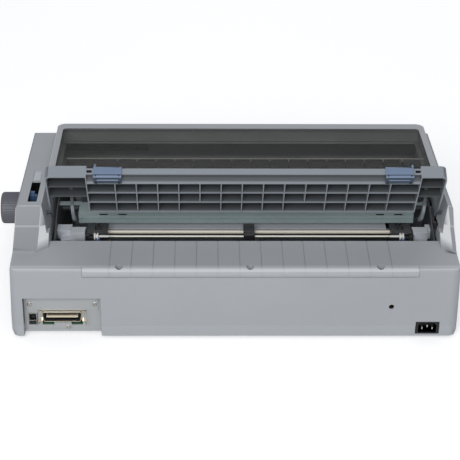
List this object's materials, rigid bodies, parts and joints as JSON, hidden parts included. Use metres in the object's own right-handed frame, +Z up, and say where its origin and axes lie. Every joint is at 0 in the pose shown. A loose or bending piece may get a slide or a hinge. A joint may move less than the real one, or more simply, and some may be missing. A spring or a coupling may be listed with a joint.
{
  "type": "dot matrix printer",
  "caption": "Wide-carriage dot matrix printer with raised rear paper guide, pin tractors, smoky top cover, side knob and rear connectors.",
  "frame": {"origin": "on the surface the printer stands on, under the middle of its bounding box", "axes": "+X along the carriage toward the paper knob, +Y toward the rear face with the connectors, +Z up"},
  "size_m": [0.6402, 0.4024, 0.2364],
  "materials": {
    "case": "fine even grain, light grey",
    "case_low": "fine even grain, light grey",
    "guide_grey": "fine grain, mid grey",
    "blue_grey": "smooth, blue grey",
    "blue_plastic": "smooth, dark blue",
    "dark_plastic": "satin, dark grey",
    "black_plastic": "satin, black",
    "smoky_window": "clear, smoke tinted",
    "rubber": "matte black",
    "bright_steel": "bright plated",
    "cream_steel": "satin, cream",
    "dark_steel": "satin, dark",
    "sheet_steel": "plated sheet",
    "green_grey": "satin, green grey",
    "gear_plastic": "natural nylon",
    "brass": "plain",
    "head_alloy": "dark die-cast alloy",
    "board_green": "circuit board, green",
    "board_brown": "circuit board, tan"
  },
  "bodies": {
    "case": {"lower_case": "case_low", "upper_case": "case", "rubber_feet": "rubber", "tear_off_bar": "black_plastic", "control_panel": "guide_grey", "chassis_plate": "sheet_steel", "left_side_frame": "dark_steel", "right_side_frame": "dark_steel", "feed_motor": "dark_steel", "tractor_rod": "cream_steel", "paper_support": "black_plastic", "paper_plate": "sheet_steel", "platen_guide": "green_grey", "tractor_brackets": "guide_grey", "carriage_shaft": "bright_steel", "ribbon_cartridge": "black_plastic", "timing_belt": "rubber", "carriage_motor": "dark_steel", "main_board": "board_green", "usb_socket": "bright_steel", "parallel_socket": "bright_steel", "interface_plate": "sheet_steel", "blank_plate": "bright_steel", "power_supply": "board_brown", "ac_inlet": "black_plastic", "screws": "bright_steel"},
    "cover": {"top_cover": "case", "cover_window": "smoky_window"},
    "guide": {"paper_guide": "guide_grey"},
    "guide_stop_left": {"edge_guide_left": "blue_grey"},
    "guide_stop_right": {"edge_guide_right": "blue_grey"},
    "front_door": {"front_cover": "case"},
    "pause_key": {"pause_button": "guide_grey"},
    "feed_key": {"feed_button": "guide_grey"},
    "load_key": {"load_button": "guide_grey"},
    "rocker": {"power_switch": "dark_plastic"},
    "platen": {"platen_roller": "rubber", "platen_shaft": "bright_steel", "platen_gear": "gear_plastic", "platen_knob": "dark_plastic"},
    "idler": {"idler_gear": "gear_plastic"},
    "pinion": {"motor_pinion": "brass"},
    "drive_shaft": {"tractor_shaft": "cream_steel"},
    "tractor_left": {"left_tractor": "black_plastic"},
    "tractor_right": {"right_tractor": "black_plastic"},
    "sprocket_left": {"left_sprocket": "black_plastic"},
    "sprocket_right": {"right_sprocket": "black_plastic"},
    "flap_left": {"left_tractor_cover": "black_plastic"},
    "flap_right": {"right_tractor_cover": "black_plastic"},
    "lock_left": {"left_lock_lever": "blue_plastic"},
    "lock_right": {"right_lock_lever": "blue_plastic"},
    "release": {"release_lever": "blue_plastic"},
    "head_gap": {"gap_lever": "blue_plastic"},
    "carriage_unit": {"carriage": "black_plastic", "print_head": "head_alloy"},
    "pulley_left": {"drive_pulley": "brass"},
    "pulley_right": {"idler_pulley": "brass"},
    "clip_left": {"left_wire_clip": "bright_steel"},
    "clip_right": {"right_wire_clip": "bright_steel"}
  },
  "joints": [
    {"name": "cover_lift", "type": "hinge", "parent": "case", "child": "cover", "pos_m": [-0.02909, 0.04, 0.152], "axis": [-1, 0, 0], "range_deg": [0, 80]},
    {"name": "guide_fold", "type": "hinge", "parent": "case", "child": "guide", "pos_m": [-0.02909, 0.095, 0.14], "axis": [-1, 0, 0], "range_deg": [0, 67]},
    {"name": "left_stop_slide", "type": "slide", "parent": "guide", "child": "guide_stop_left", "axis": [1, 0, 0], "range_m": [-0.006, 0.16]},
    {"name": "right_stop_slide", "type": "slide", "parent": "guide", "child": "guide_stop_right", "axis": [1, 0, 0], "range_m": [-0.16, 0.006]},
    {"name": "front_door_hinge", "type": "hinge", "parent": "case", "child": "front_door", "pos_m": [-0.08509, -0.1982, 0.0343], "axis": [1, 0, 0], "range_deg": [0, 85]},
    {"name": "pause_press", "type": "slide", "parent": "case", "child": "pause_key", "axis": [0, 0.6994, -0.7148], "range_m": [0, 0.0016], "stiffness_N_per_m": 200},
    {"name": "feed_press", "type": "slide", "parent": "case", "child": "feed_key", "axis": [0, 0.6994, -0.7148], "range_m": [0, 0.0016], "stiffness_N_per_m": 200},
    {"name": "load_press", "type": "slide", "parent": "case", "child": "load_key", "axis": [0, 0.6994, -0.7148], "range_m": [0, 0.0016], "stiffness_N_per_m": 200},
    {"name": "power_rock", "type": "hinge", "parent": "case", "child": "rocker", "pos_m": [0.23491, -0.1947, 0.058], "axis": [-1, 0, 0], "range_deg": [0, 16]},
    {"name": "platen_turn", "type": "hinge", "parent": "case", "child": "platen", "pos_m": [-0.02909, 0.005, 0.101], "axis": [1, 0, 0], "continuous": true},
    {"name": "idler_turn", "type": "hinge", "parent": "case", "child": "idler", "pos_m": [-0.29809, 0.045, 0.101], "axis": [1, 0, 0], "continuous": true},
    {"name": "pinion_turn", "type": "hinge", "parent": "case", "child": "pinion", "pos_m": [-0.29809, 0.005, 0.075], "axis": [1, 0, 0], "continuous": true},
    {"name": "drive_turn", "type": "hinge", "parent": "case", "child": "drive_shaft", "pos_m": [-0.02909, 0.08, 0.101], "axis": [1, 0, 0], "continuous": true},
    {"name": "left_tractor_slide", "type": "slide", "parent": "case", "child": "tractor_left", "axis": [1, 0, 0], "range_m": [0, 0.188]},
    {"name": "right_tractor_slide", "type": "slide", "parent": "case", "child": "tractor_right", "axis": [1, 0, 0], "range_m": [-0.186, 0]},
    {"name": "left_sprocket_turn", "type": "hinge", "parent": "tractor_left", "child": "sprocket_left", "pos_m": [-0.24749, 0.08, 0.101], "axis": [1, 0, 0], "continuous": true},
    {"name": "right_sprocket_turn", "type": "hinge", "parent": "tractor_right", "child": "sprocket_right", "pos_m": [0.17481, 0.08, 0.101], "axis": [1, 0, 0], "continuous": true},
    {"name": "left_flap_hinge", "type": "hinge", "parent": "tractor_left", "child": "flap_left", "pos_m": [-0.26259, 0.09, 0.1096], "axis": [0, -1, 0], "range_deg": [0, 90]},
    {"name": "right_flap_hinge", "type": "hinge", "parent": "tractor_right", "child": "flap_right", "pos_m": [0.18991, 0.09, 0.1096], "axis": [0, 1, 0], "range_deg": [0, 90]},
    {"name": "left_lock_swing", "type": "hinge", "parent": "tractor_left", "child": "lock_left", "pos_m": [-0.24749, 0.1147, 0.1], "axis": [-1, 0, 0], "range_deg": [0, 50]},
    {"name": "right_lock_swing", "type": "hinge", "parent": "tractor_right", "child": "lock_right", "pos_m": [0.17481, 0.1147, 0.1], "axis": [-1, 0, 0], "range_deg": [0, 50]},
    {"name": "release_swing", "type": "hinge", "parent": "case", "child": "release", "pos_m": [0.26391, 0.069, 0.103], "axis": [1, 0, 0], "range_deg": [-20, 22]},
    {"name": "head_gap_swing", "type": "hinge", "parent": "case", "child": "head_gap", "pos_m": [-0.28509, -0.03, 0.105], "axis": [1, 0, 0], "range_deg": [-14, 14]},
    {"name": "carriage_slide", "type": "slide", "parent": "case", "child": "carriage_unit", "axis": [1, 0, 0], "range_m": [0, 0.37]},
    {"name": "left_pulley_turn", "type": "hinge", "parent": "case", "child": "pulley_left", "pos_m": [-0.26709, -0.095, 0.069], "axis": [0, 0, 1], "range_deg": [-2437.72, 0]},
    {"name": "right_pulley_turn", "type": "hinge", "parent": "case", "child": "pulley_right", "pos_m": [0.20891, -0.095, 0.069], "axis": [0, 0, 1], "range_deg": [-2437.72, 0]},
    {"name": "left_clip_swing", "type": "hinge", "parent": "case", "child": "clip_left", "pos_m": [0.18991, 0.1898, 0.0294], "axis": [0, 0, 1], "range_deg": [-38, 50]},
    {"name": "right_clip_swing", "type": "hinge", "parent": "case", "child": "clip_right", "pos_m": [0.25111, 0.1898, 0.0294], "axis": [0, 0, 1], "range_deg": [-50, 38]}
  ],
  "couplings": [
    {"joint": "idler_turn", "follows": "platen_turn", "ratio": -1},
    {"joint": "pinion_turn", "follows": "platen_turn", "ratio": -3.3333},
    {"joint": "drive_turn", "follows": "platen_turn", "ratio": 1.3333},
    {"joint": "left_sprocket_turn", "follows": "platen_turn", "ratio": 1.3333},
    {"joint": "right_sprocket_turn", "follows": "platen_turn", "ratio": 1.3333},
    {"joint": "left_pulley_turn", "follows": "carriage_slide", "rad_per_m": -114.94},
    {"joint": "right_pulley_turn", "follows": "carriage_slide", "rad_per_m": -114.94}
  ]
}
